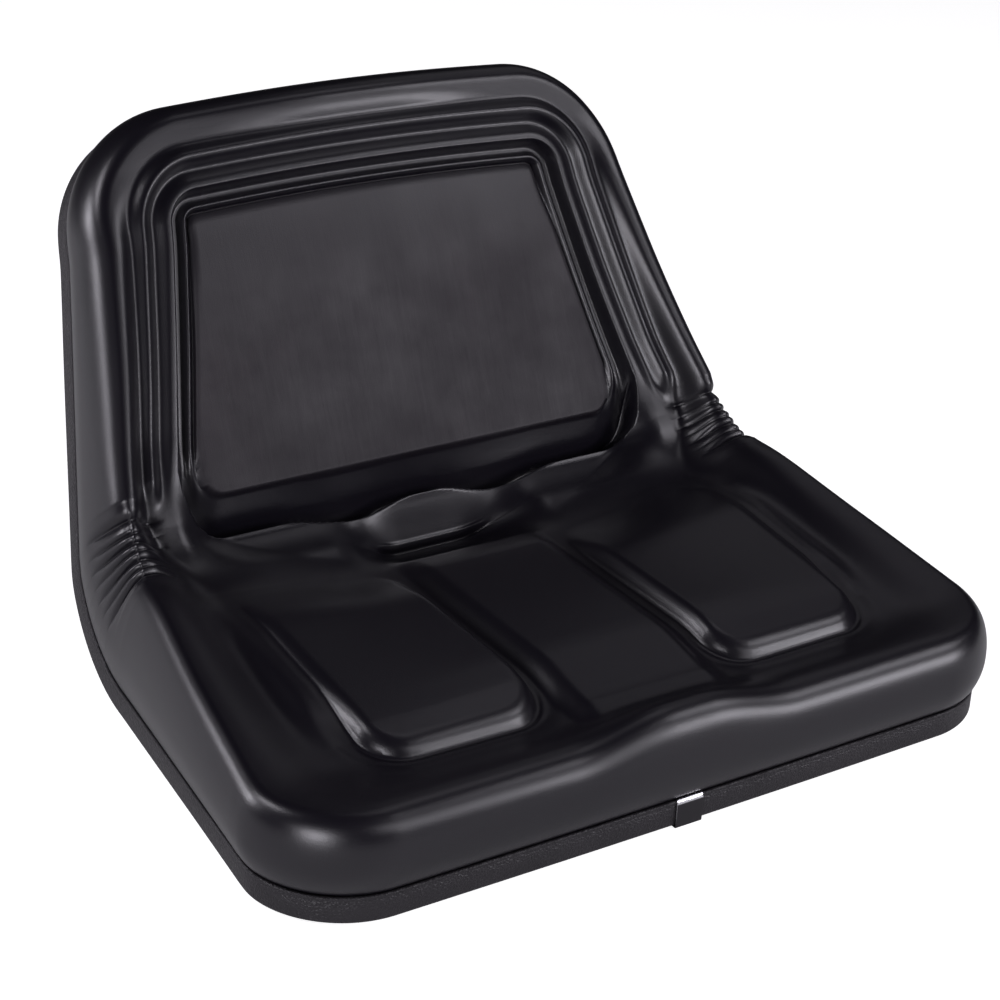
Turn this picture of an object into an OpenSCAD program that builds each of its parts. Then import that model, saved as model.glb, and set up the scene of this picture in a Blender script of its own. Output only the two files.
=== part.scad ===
// Bucket seat for a lawn tractor or garden machine.
// A moulded foam cushion with its own skin lies in a pressed steel pan that is bent to an L.
// A push-on edge trim grips the skin and the flange of the pan all the way round.
// The seat faces -Y and +Z is up. Left is -X, as seen from in front of the seat.
// The origin is under the middle of the whole seat, on the surface it stands on.

/* [Pan and rim] */
// Half the width of the rim behind the front corners
front_half_w = 235; // [215:1:255]
// Half the width of the rim where the seat begins to bend up
rear_half_w = 216.2; // [200:0.1:230]
// Half the width of the rim at the foot of the backrest
back_half_w = 209.8; // [195:0.1:225]
// Half the width of the rim below the top corners
top_half_w = 178; // [165:1:195]
// Length of the flat seat from the front edge to the bend
seat_len = 239; // [232:1:255]
// Radius of the bend, at the rim
bend_r = 77; // [70:0.1:85]
// Angle that the backrest leans back from upright
recline = 24.6; // [18:0.1:30]
// Length of the straight backrest above the bend
back_len = 242; // [225:1:260]
// Corner radius of the rim at the front
front_corner_r = 56; // [45:1:65]
// Corner radius of the rim at the top
top_corner_r = 64; // [60:1:74]
// How far the middle of the front edge stands forward of its corners
front_bow = 2; // [0:0.5:10]
// How far the middle of the top edge stands above its corners
top_crown = 7.5; // [0:0.5:12]
// Thickness of the steel sheet
sheet_t = 1.5; // [1:0.1:2.5]
// Height of the flange that is turned down round the pan
flange_h = 11; // [9:0.5:12]
// Width of each pressed stiffening rib
rib_w = 14; // [10:1:20]
// Height of each pressed stiffening rib
rib_h = 4; // [2:0.5:6]
// Distance of the outer ribs from the middle
rib_x = 105; // [90:1:120]

/* [Mounting nuts] */
// Distance between the left and right mounting nuts
mount_w = 286; // [240:1:300]
// Distance between the front and rear mounting nuts
mount_d = 152; // [120:1:170]
// Distance of the front nuts behind the front edge
mount_front = 58; // [50:1:66]
// Bore of each nut, tapped for an M8 screw
nut_bore = 6.8; // [6.8:0.1:8.5]
// Width of each nut across its flats
nut_af = 14; // [13:0.5:17]
// Height of each nut
nut_h = 8; // [6:0.5:10]

/* [Edge trim] */
// Height of the trim's outer face
trim_h = 15.8; // [13.5:0.1:18]
// Thickness of the trim's walls
trim_t = 2.2; // [1.6:0.1:2.4]
// Height of the trim's inner leg
trim_leg = 8; // [6:0.5:10]
// Width of the clip over the trim's joint
clip_w = 17; // [12:0.5:24]
// Thickness of the clip
clip_t = 0.8; // [0.5:0.1:1.2]
// Gap between the ends of the trim beside the clip
joint_gap = 1; // [0.5:0.1:2]

/* [Cushion] */
// Thickness of the skin that is tucked behind the trim
skin_t = 1.2; // [0.8:0.1:1.5]
// Depth to which the skin is tucked down inside the trim
tuck_h = 7; // [4:0.5:8]
// How far the cushion's sides stand out past the trim
bulge = 5; // [2:0.5:7]
// Height of the cushion's rim roll at the front edge
roll_front = 45; // [38:1:50]
// Height of the side rolls where they meet the bend
roll_bend = 76; // [68:1:80]
// Height of the rolls at the top of the backrest
roll_top = 48; // [44:1:56]
// How much lower the roll is at the top corners
corner_dip = 3.5; // [0:0.5:6]
// Height of the seat's floor along the middle
floor_h = 47; // [42:1:52]
// Height of the backrest's face
face_h = 44; // [40:1:48]
// Inner radius of the fold between the seat and backrest
fold_r = 40; // [30:1:50]
// Width of the rolls on the seat, from the rim to the foot of the roll
seat_roll_w = 54; // [48:1:60]
// Width of the roll at the front edge
front_roll_w = 42; // [38:1:46]
// Width of the outer roll on the backrest
back_roll_w = 21; // [18:0.5:24]

/* [Seat pads] */
// Distance of each pad's inner edge from the middle
pad_in = 57; // [52:1:64]
// Distance of each pad's outer edge from the middle
pad_out = 163; // [155:1:168]
// Distance of the pads' front edge behind the rim
pad_front = 50; // [47:1:60]
// Distance of the pads' rear edge behind the rim
pad_rear = 236; // [215:1:236]
// Height of the pads above the floor
pad_h = 9; // [4:0.5:12]
// Width of the pads' bevelled edge
pad_bevel = 10; // [6:0.5:12]
// Corner radius of the pads
pad_r = 24; // [18:1:28]
// Half the width of the ridge between the pads
ridge_half_w = 36; // [28:1:40]
// Height of the ridge and the hump in front of it
ridge_h = 6; // [3:0.5:9]

/* [Back panel] */
// Distance of the panel's edge from the rim at the sides and the top
panel_in = 60; // [56:1:64]
// Height of the panel's lower edge above the bend
panel_low = 16; // [14:1:22]
// Corner radius at the panel's lower corners
panel_r = 18; // [12:1:22]
// Distance from the panel's lower edge to the lip below it
lip_low = 30; // [22:1:34]
// Depth of the channel round the panel
channel_d = 6; // [3:0.5:8]
// Height of the lip outside the channel
lip_h = 3.5; // [2:0.5:5]
// Height of the ridge between the lip and the outer roll
welt_h = 6; // [3:0.5:7]

/* [Folds and drain] */
// Number of deep valleys in the folds at each end of the bend
folds = 4; // [3:1:5]
// Spacing of the deep valleys along the rim
fold_pitch = 22; // [16:0.5:23]
// Depth of the folds
fold_d = 4.5; // [2:0.5:6]
// Half the width of the drain pocket at the foot of the backrest
pocket_half_w = 56; // [50:1:60]
// Depth of the drain pocket
pocket_d = 25; // [16:1:28]

/* [Hidden] */

// Clearance between the pieces
gap = 0.3;
// Depth of the pan's plate below the trim's top edge
plate_h = 1;
// Height at which the fold's inner curve is drawn
fold_h = 70;
// Distance outward from the panel's edge to the top of the lip, at the sides and the top
lip_at = 16.5;
// Length along the rim over which the fold pushes the surface forward
fold_reach = 130;
// Inset of the outermost line of the surface grid, where the rolls are highest
crest_in = 8;

turn = 90 - recline;
bend_len = bend_r * turn * PI / 180;
bend_end = seat_len + bend_len;
top_s = bend_end + back_len;
corner_y = seat_len + bend_r * tan(turn / 2);
fold_y = corner_y - (fold_h + fold_r) * tan(turn / 2);
fold_shift = seat_len - fold_y;
fold_mid = seat_len + 0.68 * bend_len;
pocket_s = seat_len + 0.55 * bend_len;

flange_in = trim_t + 2 * gap + skin_t;
leg_in = flange_in + sheet_t + gap;

// Whole depth of the seat: from the front of the roll to the rim behind the top of the back
top_y = seat_len + bend_r * sin(turn) + (back_len + top_crown) * cos(turn);
trim_back = trim_h * sin(turn);
base_z = max(trim_h + clip_t + gap, plate_h + sheet_t + nut_h);
mid_y = (top_y + trim_back - bulge) / 2;

// Smooth step from 0 at a to 1 at b
function ease(a, b, t) = let (u = min(max((t - a) / (b - a), 0), 1)) u * u * (3 - 2 * u);
// Smooth bump, 1 at 0 and 0 beyond -1 and 1
function bump(t) = abs(t) < 1 ? 0.5 + 0.5 * cos(180 * t) : 0;
function mix(a, b, t) = a + (b - a) * t;

// Position on the rim's own curve, s being the distance along it from the front edge
function rim_point(s) =
  let (a = min(max((s - seat_len) / bend_r, 0), turn * PI / 180) * 180 / PI)
  let (u = max(s - bend_end, 0))
  [
    min(s, seat_len) + bend_r * sin(a) + u * cos(turn),
    bend_r * (1 - cos(a)) + u * sin(turn)
  ];

// Position on the fold's inner curve, which has its own smaller radius
function fold_point(s) =
  let (a = min(max((s - seat_len) / bend_r, 0), turn * PI / 180) * 180 / PI)
  let (u = s - bend_end)
  let (y0 = s < seat_len ? s - fold_shift * ease(seat_len - fold_reach, seat_len, s) : fold_y)
  let (u1 = u > 0 ? u - fold_shift * ease(0, fold_reach, u) : 0)
  [
    y0 + fold_r * sin(a) + u1 * cos(turn),
    fold_h + fold_r * (1 - cos(a)) + u1 * sin(turn)
  ];

// Point in space at x across, s along the rim and h above it
function place(x, s, h) =
  let (p = rim_point(s))
  let (q = fold_point(s))
  let (r = p + (q - p) * h / fold_h)
  [x, r[0] - mid_y, r[1] + base_z];

// Half the width of the rim at s, tapering only between the corners
function half_w(s) = lookup(s, [
  [front_corner_r, front_half_w],
  [seat_len, rear_half_w],
  [bend_end, back_half_w],
  [top_s - top_corner_r, top_half_w]
]);

function bow_at(x) = front_bow * pow(x / front_half_w, 2);
function crown_at(x) = top_crown * (1 - pow(x / top_half_w, 2));

// Distances inward from the side, front and top edges
function edge_side(x, s) = half_w(s) - abs(x);
function edge_front(x, s) = s - bow_at(x);
function edge_top(x, s) = top_s + crown_at(x) - s;

// Distance inward from two edges that meet in a corner of radius r
function inner(a, b, r) = a < r && b < r ? r - norm([r - a, r - b]) : min(a, b);
// Distance outward past two edges that meet in a corner of radius r
function outer(a, b, r) = a > -r && b > -r ? norm([a + r, b + r]) - r : max(a, b);

function rim_inset(x, s) = min(
  inner(edge_side(x, s), edge_front(x, s), front_corner_r),
  inner(edge_side(x, s), edge_top(x, s), top_corner_r)
);

// Height of the rolls along the rim
function crest(s) = lookup(s, [
  [0, roll_front],
  [0.21 * seat_len, roll_front + 1],
  [0.49 * seat_len, mix(roll_front, roll_bend, 0.44)],
  [0.91 * seat_len, roll_bend - 1],
  [seat_len, roll_bend + 1],
  [fold_mid, roll_bend + 1],
  [bend_end + 0.19 * back_len, mix(roll_top, roll_bend, 0.6)],
  [bend_end + 0.46 * back_len, mix(roll_top, roll_bend, 0.36)],
  [bend_end + 0.83 * back_len, roll_top],
  [top_s + 20, roll_top - 1]
]);

// Height of the surface between the rolls, lower along the middle than beside the rolls
function floor_side(s) = lookup(s, [
  [pad_front, floor_h - 6],
  [0.44 * seat_len, floor_h + 1],
  [0.93 * seat_len, floor_h + 12],
  [bend_end, face_h + 9],
  [bend_end + 0.22 * back_len, face_h + 2],
  [top_s, face_h]
]);
function floor_mid(s) = lookup(s, [
  [pad_front, floor_h - 7],
  [0.36 * seat_len, floor_h],
  [seat_len, floor_h],
  [bend_end + panel_low - lip_low, face_h - 6],
  [bend_end + panel_low, face_h - 1.5],
  [top_s, face_h]
]);
function floor_at(x, s) =
  let (start = mix(pad_in, pad_out - 25, ease(seat_len, bend_end, s)))
  mix(floor_mid(s), floor_side(s), ease(start, pad_out + 5, abs(x)));

// Distance outward past the edge of the back panel, open at the bottom
function panel_open(x, s) = outer(
  panel_in - edge_side(x, s), panel_in - edge_top(x, s), top_corner_r - panel_in
);
// The same closed all round. It grows more slowly downward, so that the lip is further away there.
function panel_closed(x, s) = max(
  panel_open(x, s),
  outer(panel_in - edge_side(x, s), (bend_end + panel_low - s) * lip_at / lip_low, panel_r)
);

// Distance outward past the edge of a seat pad
function pad_past(x, s) =
  let (a = abs(abs(x) - (pad_in + pad_out) / 2) - (pad_out - pad_in) / 2)
  max(outer(a, pad_front - s, pad_r), outer(a, s - pad_rear, pad_r));

// Share of the way down from the crest of the roll to its foot
function roll_fall(x, s) =
  let (to_back = ease(seat_len + 10, bend_end + 15, s))
  let (w = mix(seat_roll_w, back_roll_w, to_back))
  let (a = w - edge_side(x, s))
  let (foot = max(
    outer(a, front_roll_w - edge_front(x, s), 45),
    outer(a, back_roll_w - edge_top(x, s), top_corner_r - back_roll_w),
    0
  ))
  let (g = max(rim_inset(x, s) - crest_in, 0))
  ease(0, 1, g / (g + foot + 0.001));

// The pads fade out toward the rear
function seat_relief(x, s) =
  let (on_seat = 1 - ease(seat_len - 5, seat_len + 25, s))
  let (past = pad_past(x, s))
  let (pad = 1 - ease(-pad_bevel, 0, past))
  let (groove = bump((past - 4) / 7))
  let (fade = 1 - ease(pad_rear - 60, pad_rear, s))
  let (ridge = 1 - ease(ridge_half_w, ridge_half_w + 16, abs(x)))
  on_seat * fade * (pad * mix(0.6, 1, ease(48, 80, s)) * pad_h - 2.5 * groove)
  + ridge_h * ridge * ease(20, 45, s) * (1 - ease(215, 250, s));

// The pocket falls to a crease, gently from the seat and steeply from the backrest
function drain_pocket(x, s) =
  let (side = 0.4 * pocket_half_w)
  let (a = max(abs(x) - pocket_half_w + side, 0) / side)
  let (b = s - pocket_s)
  -pocket_d * pow(1 - min(norm([a, b > 0 ? b / 26 : b / 42]), 1), 1.4);

// The ridge has a deep groove inside it and a shallow one outside it, and ends above the folds
function back_relief(x, s) =
  let (up = ease(bend_end + 5, bend_end + 35, s))
  let (open = panel_open(x, s))
  let (past = panel_closed(x, s))
  let (rise = ease(26, 33, open) - 0.35 * ease(33, 40, open) - 0.65 * ease(41, 52, open))
  let (welts = welt_h * rise - 0.5 * bump((open - 25) / 5))
  let (below = ease(0, 10, bend_end + panel_low - s))
  let (lip = lip_h * (1 - 0.5 * below) * bump((past - lip_at) / 6.5))
  let (channel = -channel_d * (1 + below) * ease(0, 4, past) * (1 - ease(8, 13.5, past)))
  up * welts + lip + channel - 1.5 * (1 - ease(0, 3, past));

// The folds are round ridges with sharp valleys between them, 1 in a deep valley.
// A crease runs along the middle of each ridge.
function valley(k) = 1 - pow(abs(sin(180 * k)), 0.6);
function fold_wave(s) =
  let (k = (s - fold_mid) / fold_pitch + (folds % 2 == 1 ? 0 : 0.5))
  let (from_mid = abs(s - fold_mid) / fold_pitch)
  (valley(k) + 0.5 * valley(k + 0.5)) * (1 - ease(folds / 2 - 0.5, folds / 2 + 0.1, from_mid));
// They run across the rolls and fade toward the middle
function fold_relief(x, s) = -fold_d * fold_wave(s) * (1 - ease(20, 38, rim_inset(x, s)));

function lift(x, s) =
  let (hump = 9 * (1 - ease(10, 72, abs(x))) * (1 - ease(20, 60, s)))
  let (dip = corner_dip * ease(20, 110, abs(x)) * ease(top_s - 75, top_s - 25, s))
  mix(crest(s) + hump - dip, floor_at(x, s), roll_fall(x, s))
  + seat_relief(x, s) + drain_pocket(x, s) + back_relief(x, s) + fold_relief(x, s);

// Insets of the grid's outer lines on the backrest, at the sides and again at the top
back_lines = [
  crest_in, 14, 20, 23.5, 27.5, 31.5, 35, 39, 43.5, 48.5, 52, 56, 60
];
// Share of the panel's half width for the lines inside it
panel_lines = [0.88, 0.74, 0.58, 0.42, 0.27, 0.13, 0];
// Share of the way from the crest of the seat's rolls to the pads for the lines between them
side_lines = [0, 0.17, 0.35, 0.55, 0.75, 0.9];
// Distances from the middle for the lines on the pads, and between the pads
pad_w = pad_out - pad_in;
pad_lines = [
  0, pad_bevel / 2, pad_bevel, 2 * pad_bevel, pad_w / 2,
  pad_w - 2 * pad_bevel, pad_w - pad_bevel, pad_w - pad_bevel / 2, pad_w
];
seat_lines = concat(
  [for (d = pad_lines) pad_out - d],
  [for (share = [0.88, 0.74, 0.56, 0.3, 0]) share * pad_in]
);
half_cols = len(back_lines) + len(panel_lines);
cols = 2 * half_cols - 1;

// Distances along the rim of the grid's rows, evenly between the features they follow
front_rows = [for (share = [0, 0.2, 0.45, 0.7, 1]) mix(crest_in, front_roll_w, share)];
fold_rows = [for (m = [-2 * folds:2 * folds]) fold_mid + m * fold_pitch / 4];
fold_first = fold_rows[0];
fold_last = fold_rows[len(fold_rows) - 1];
pad_start = pad_front + 2.2 * pad_bevel;
pad_end = pad_rear - 2 * pad_bevel;
seat_rows = concat(
  [(front_roll_w + pad_front) / 2, pad_front, pad_front + pad_bevel / 2, pad_front + pad_bevel],
  [for (share = [0, 0.16, 0.33, 0.5, 0.67, 0.84, 1]) mix(pad_start, pad_end, share)],
  [pad_rear - pad_bevel, pad_rear - pad_bevel / 2, pad_rear],
  [for (share = [0.33, 0.67]) mix(pad_rear, fold_first, share)]
);
panel_rows = [
  for (share = [0.07, 0.19, 0.325, 0.46, 0.595, 0.73, 0.865])
    mix(fold_last, top_s - panel_in, share)
];
front_count = len(front_rows);
mid_rows = concat(seat_rows, fold_rows, panel_rows);
top_start = front_count + len(mid_rows);
rows = top_start + len(back_lines);

// Distance along the rim of row j before its bow or crown
function row_s(j) =
  j < front_count ? front_rows[j]
  : j < top_start ? mid_rows[j - front_count]
  : top_s - back_lines[len(back_lines) - 1 - (j - top_start)];

// Distance from the middle of half-column c, 0 being the outermost
function col_x(c, s) =
  let (w = half_w(s))
  let (n = len(back_lines))
  let (on_back = c < n ? w - back_lines[c] : (w - panel_in) * panel_lines[c - n])
  let (m = len(side_lines))
  let (on_seat = c < m ? mix(w - crest_in, pad_out, side_lines[c]) : seat_lines[c - m])
  mix(on_seat, on_back, ease(seat_len + 5, bend_end, s));

// Moves a point from a square corner to a round one: a and b are its insets from both edges,
// and e is the inset of the line it ends up on
function rounded(a, b, r, e) =
  a >= r || b >= r ? [a <= b ? min(a, e) : a, b < a ? min(b, e) : b]
  : let (t = 45 * (r - max(a, b)) / (r - min(a, b)))
    let (p = [r - (r - e) * cos(t), r - (r - e) * sin(t)])
    a <= b ? p : [p[1], p[0]];

// Rounds the grid inside a feature with corner radius r, fading out past its edge
function soften(a, b, r, reach) =
  let (m = min(a, b))
  let (p = rounded(a, b, r, m))
  let (k = 1 - ease(reach / 3, reach, -m))
  [mix(a, p[0], k), mix(b, p[1], k)];

// Position across and along of the grid's point in column i and row j.
// Points on the grid's border can be moved out to inset e, and on to the rim and past it.
function spot(i, j, e) =
  let (side = i < half_cols - 1 ? -1 : 1)
  let (c = i < half_cols ? i : cols - 1 - i)
  let (s = row_s(j))
  let (x = col_x(c, s))
  let (at_front = j < front_count + 6)
  let (b = at_front ? s : top_s - s)
  let (r = at_front ? front_corner_r : top_corner_r)
  let (a = half_w(s) - x)
  let (edge = is_undef(e) ? min(a, b) : e)
  let (p = rounded(a, b, r, edge))
  let (q = at_front ? p[1] : top_s - p[1])
  let (x1 = x + a - p[0] + (half_w(q) - half_w(s)) * x / half_w(s))
  let (q1 = q + bow_at(x1) * (1 - ease(0, 90, q)) + crown_at(x1) * ease(top_s - 140, top_s - 60, q))
  let (t = is_undef(e) ? features(x1, q1) : [x1, q1])
  [side * t[0], t[1]];

// Rounds the grid at the corners of the pads and at the panel's lower corners
function features(x, s) =
  s < seat_len + 10 ? pad_corner(x, s) : panel_corner(x, s);
function pad_corner(x, s) =
  let (c = (pad_in + pad_out) / 2)
  let (h = (pad_out - pad_in) / 2)
  let (a = h - abs(x - c))
  let (front = s < (pad_front + pad_rear) / 2)
  let (b = front ? s - pad_front : pad_rear - s)
  let (p = soften(a, b, pad_r, 14))
  [c + (x > c ? 1 : -1) * (h - p[0]), front ? pad_front + p[1] : pad_rear - p[1]];
function panel_corner(x, s) =
  let (b = s - bend_end - panel_low)
  let (w = half_w(s) - panel_in)
  let (p = b < 60 ? soften(w - x, b, panel_r, 34) : [w - x, b])
  [w - p[0], bend_end + panel_low + p[1]];

// The grid's border, walked from the middle of the front by the right-hand side to the top
border = concat(
  [for (i = [half_cols - 1:cols - 1]) [i, 0]],
  [for (j = [1:rows - 1]) [cols - 1, j]],
  [for (i = [cols - 2:-1:half_cols - 1]) [i, rows - 1]]
);
half_border = len(border);
// The same stations mirrored back down the left-hand side, so that the loop closes
loop_count = 2 * half_border - 2;
function loop_node(k) =
  k < half_border ? border[k] : let (n = border[loop_count - k]) [cols - 1 - n[0], n[1]];

function loop_spot(k, e) = let (n = loop_node(k)) spot(n[0], n[1], e);

// Inset from the rim, share of the crest's height and added height of each ring up the sides
wall_rings = [
  [flange_in - gap, 0, gap - plate_h],
  [flange_in - gap, 0, -tuck_h],
  [trim_t + gap, 0, -tuck_h],
  [trim_t + gap, 0, gap],
  [0.4, 0.01, 1],
  [0.45 - 0.75 * bulge, 0.2, 0],
  [-bulge, 0.42, 0],
  [0.3 - 0.82 * bulge, 0.65, 0],
  [-0.2 * bulge, 0.85, 0],
  [3.6, 0.965, 0]
];

function strip(a, b, n) = [
  for (k = [0:n - 1])
    let (m = (k + 1) % n)
    each [[a + k, a + m, b + m], [a + k, b + m, b + k]]
];

// Triangles that span from one side of a loop straight across to the other
function span(start, n, up) = [
  for (k = [0:n / 2 - 1])
    let (l0 = (n - k) % n)
    let (l1 = n - k - 1)
    let (t = concat(
      k > 0 ? [[start + k, start + l1, start + l0]] : [],
      l1 != k + 1 ? [[start + k, start + k + 1, start + l1]] : []
    ))
    each [for (f = t) up ? [f[0], f[2], f[1]] : f]
];

module seat_cushion() {
  grid = [for (j = [0:rows - 1]) [for (i = [0:cols - 1]) spot(i, j)]];
  heights = [for (row = grid) [for (p = row) lift(p[0], p[1])]];
  surface = [
    for (j = [0:rows - 1])
      for (i = [0:cols - 1]) place(grid[j][i][0], grid[j][i][1], heights[j][i])
  ];
  rings = [
    for (ring = wall_rings)
      for (k = [0:loop_count - 1])
        let (n = loop_node(k))
        let (pinch = 0.8 * fold_d * fold_wave(row_s(n[1])) * ring[1])
        let (p = spot(n[0], n[1], ring[0] + pinch))
        place(p[0], p[1], ring[1] * heights[n[1]][n[0]] + ring[2])
  ];
  first = rows * cols;
  last = first + (len(wall_rings) - 1) * loop_count;
  top = [
    for (j = [0:rows - 2])
      for (i = [0:cols - 2])
        let (a = j * cols + i)
        each (i < half_cols - 1)
          ? [[a, a + cols, a + 1], [a + 1, a + cols, a + cols + 1]]
          : [[a, a + cols, a + cols + 1], [a, a + cols + 1, a + 1]]
  ];
  walls = [
    for (r = [0:len(wall_rings) - 2])
      each strip(first + (r + 1) * loop_count, first + r * loop_count, loop_count)
  ];
  function on_grid(k) = let (n = loop_node(k % loop_count)) n[1] * cols + n[0];
  seam = [
    for (k = [0:loop_count - 1])
      let (m = (k + 1) % loop_count)
      each [
        [on_grid(k), on_grid(m), last + m],
        [on_grid(k), last + m, last + k]
      ]
  ];
  color([0.1, 0.1, 0.11])
    polyhedron(concat(surface, rings), concat(top, walls, seam, span(first, loop_count, false)));
}

// Stations for the pan and the trim: every border point round the corners, fewer on the
// straights and in the bend
function keep(k) =
  let (n = border[k])
  let (c = cols - 1 - n[0])
  let (j = n[1])
  let (fold_start = front_count + len(seat_rows))
  j == 0 ? (c < 6 || (c - 6) % 4 == 1 || k == 0)
  : j < front_count ? true
  : j < fold_start ? (j - front_count) % 3 == 2 || j > fold_start - 4
  : j < fold_start + len(fold_rows) ? (j - fold_start) % 2 == 0
  : j < top_start ? (top_start - j) % 2 == 1
  : j < rows - 1 ? true
  : (c < 13 || c % 3 == 1 || k == half_border - 1);
stations = [for (k = [0:half_border - 1]) if (keep(k)) border[k]];
station_count = len(stations);
ring_count = 2 * station_count - 2;
function station(k) =
  k < station_count ? stations[k]
  : let (n = stations[ring_count - k]) [cols - 1 - n[0], n[1]];
function on_ring(k, e, h) =
  let (n = station(k))
  let (p = spot(n[0], n[1], e))
  place(p[0], p[1], h);

// A rib is pressed down out of the plate and follows it through the bend
module rib(x, s0, s1) {
  steps = 26;
  half = rib_w / 2;
  section = [[-half, 0.4], [-half / 2, -rib_h], [half / 2, -rib_h], [half, 0.4]];
  n = len(section);
  under = -plate_h - sheet_t;
  pts = [
    for (k = [0:steps])
      let (s = mix(s0, s1, k / steps))
      let (f = ease(0, 0.12, k / steps) * ease(0, 0.12, 1 - k / steps))
      for (p = section) place(x + p[0], s, under + (p[1] > 0 ? p[1] : p[1] * f + 0.2 * (1 - f)))
  ];
  sides = [
    for (k = [0:steps - 1])
      for (m = [0:n - 1])
        let (a = k * n + m)
        let (b = k * n + (m + 1) % n)
        each [[a, b, b + n], [a, b + n, a + n]]
  ];
  polyhedron(pts, concat(sides, [[3, 2, 1, 0]], [[for (m = [0:n - 1]) steps * n + m]]));
}

module seat_pan() {
  low = -plate_h - flange_h;
  rings = [
    [flange_in, -plate_h],
    [flange_in, low],
    [flange_in + sheet_t, low],
    [flange_in + sheet_t, -plate_h - sheet_t]
  ];
  pts = [for (r = rings) for (k = [0:ring_count - 1]) on_ring(k, r[0], r[1])];
  walls = [for (r = [0:2]) each strip(r * ring_count, (r + 1) * ring_count, ring_count)];
  plate = concat(span(0, ring_count, true), span(3 * ring_count, ring_count, false));
  color([0.07, 0.07, 0.075])
    difference() {
      union() {
        polyhedron(pts, concat(walls, plate));
        for (x = [-rib_x, 0, rib_x])
          rib(x, 40, bend_end + back_len - 60);
      }
      for (p = nut_places)
        translate([p[0], p[1] - mid_y, base_z - plate_h - sheet_t - 1])
          cylinder(d = nut_bore + 2, h = sheet_t + 2, $fn = 48);
    }
}

nut_places = [
  for (y = [mount_front, mount_front + mount_d])
    for (x = [-mount_w / 2, mount_w / 2]) [x, y]
];

module weld_nut(n) {
  p = nut_places[n];
  color([0.62, 0.62, 0.6])
    translate([p[0], p[1] - mid_y, base_z - plate_h - sheet_t - nut_h])
      difference() {
        cylinder(d = nut_af / cos(30), h = nut_h, $fn = 6);
        translate([0, 0, -1])
          cylinder(d = nut_bore, h = nut_h + 2, $fn = 48);
      }
}

// The trim is a channel that opens upward: a tall outer face, a floor and a short inner leg
trim_section = [
  [0, -trim_h],
  [0, 0],
  [trim_t, 0],
  [trim_t, -trim_h + trim_t],
  [leg_in, -trim_h + trim_t],
  [leg_in, -trim_h + trim_leg],
  [leg_in + trim_t, -trim_h + trim_leg],
  [leg_in + trim_t, -trim_h]
];

// A point beside the middle of the front, at x across
function front_point(x, e, h) = place(x, bow_at(x) + e, h);

module edge_trim() {
  n = len(trim_section);
  start = -clip_w / 2 - 0.5;
  end = start - joint_gap;
  pts = concat(
    [for (p = trim_section) front_point(start, p[0], p[1])],
    [for (k = [0:ring_count - 1]) for (p = trim_section) on_ring(k, p[0], p[1])],
    [for (p = trim_section) front_point(end, p[0], p[1])]
  );
  count = ring_count + 2;
  sides = [
    for (k = [0:count - 2])
      for (m = [0:n - 1])
        let (a = k * n + m)
        let (b = k * n + (m + 1) % n)
        each [[a, b, b + n], [a, b + n, a + n]]
  ];
  color([0.08, 0.08, 0.085])
    polyhedron(pts, concat(
      sides,
      [[for (m = [n - 1:-1:0]) m]],
      [[for (m = [0:n - 1]) (count - 1) * n + m]]
    ));
}

// The clip is a strip of sheet bent round the trim where its ends meet
module trim_clip() {
  deep = leg_in + trim_t;
  color([0.5, 0.5, 0.5])
    translate([-clip_w / 2, -mid_y, base_z])
      rotate([90, 0, 90])
        linear_extrude(clip_w)
          polygon([
            [-gap - clip_t, 0.6],
            [-gap - clip_t, -trim_h - gap - clip_t],
            [deep + gap + clip_t, -trim_h - gap - clip_t],
            [deep + gap + clip_t, -trim_h + trim_leg],
            [deep + gap, -trim_h + trim_leg],
            [deep + gap, -trim_h - gap],
            [-gap, -trim_h - gap],
            [-gap, 0.6]
          ]);
}

seat_cushion();
seat_pan();
edge_trim();
trim_clip();
weld_nut(0);  // nut_front_left
weld_nut(1);  // nut_front_right
weld_nut(2);  // nut_rear_left
weld_nut(3);  // nut_rear_right
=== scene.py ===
# %% [markdown]
# # A bucket seat for a garden machine
# The real seat is one black foam moulding with its own vinyl skin. It lies in a steel pan
# that is bent to an L, and a push-on trim grips both round the edge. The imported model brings
# every piece at its true size. Here each visible surface is worked out again, finely enough
# for light to run over it, from the same named sizes as the solids.

# %% Load the frame
import math

import bmesh
import bpy
import numpy as np
from mathutils import Matrix, Vector


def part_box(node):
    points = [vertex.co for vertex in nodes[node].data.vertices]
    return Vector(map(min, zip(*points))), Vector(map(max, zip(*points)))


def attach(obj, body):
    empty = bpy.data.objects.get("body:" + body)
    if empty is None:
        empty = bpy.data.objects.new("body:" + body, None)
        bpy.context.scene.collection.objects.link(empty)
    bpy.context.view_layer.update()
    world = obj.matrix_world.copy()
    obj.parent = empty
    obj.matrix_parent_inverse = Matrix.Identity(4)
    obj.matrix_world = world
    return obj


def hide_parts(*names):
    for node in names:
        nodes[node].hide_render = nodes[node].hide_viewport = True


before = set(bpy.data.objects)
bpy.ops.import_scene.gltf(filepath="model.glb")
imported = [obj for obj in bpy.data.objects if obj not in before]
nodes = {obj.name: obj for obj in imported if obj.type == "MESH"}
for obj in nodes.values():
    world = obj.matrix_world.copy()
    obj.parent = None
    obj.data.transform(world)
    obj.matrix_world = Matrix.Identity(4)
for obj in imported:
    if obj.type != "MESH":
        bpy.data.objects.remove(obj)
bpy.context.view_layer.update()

# %% [markdown]
# ## Sizes
# All the seat's sizes are millimetres, as a maker would write them, and a point is scaled to
# metres only when it gets its place. The rim is the line where cushion and trim meet. Seen
# from the side it runs flat, round a bend, and straight up the backrest. Across the seat the
# sizes are distances from its middle, and along the seat they are distances from its front.

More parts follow.
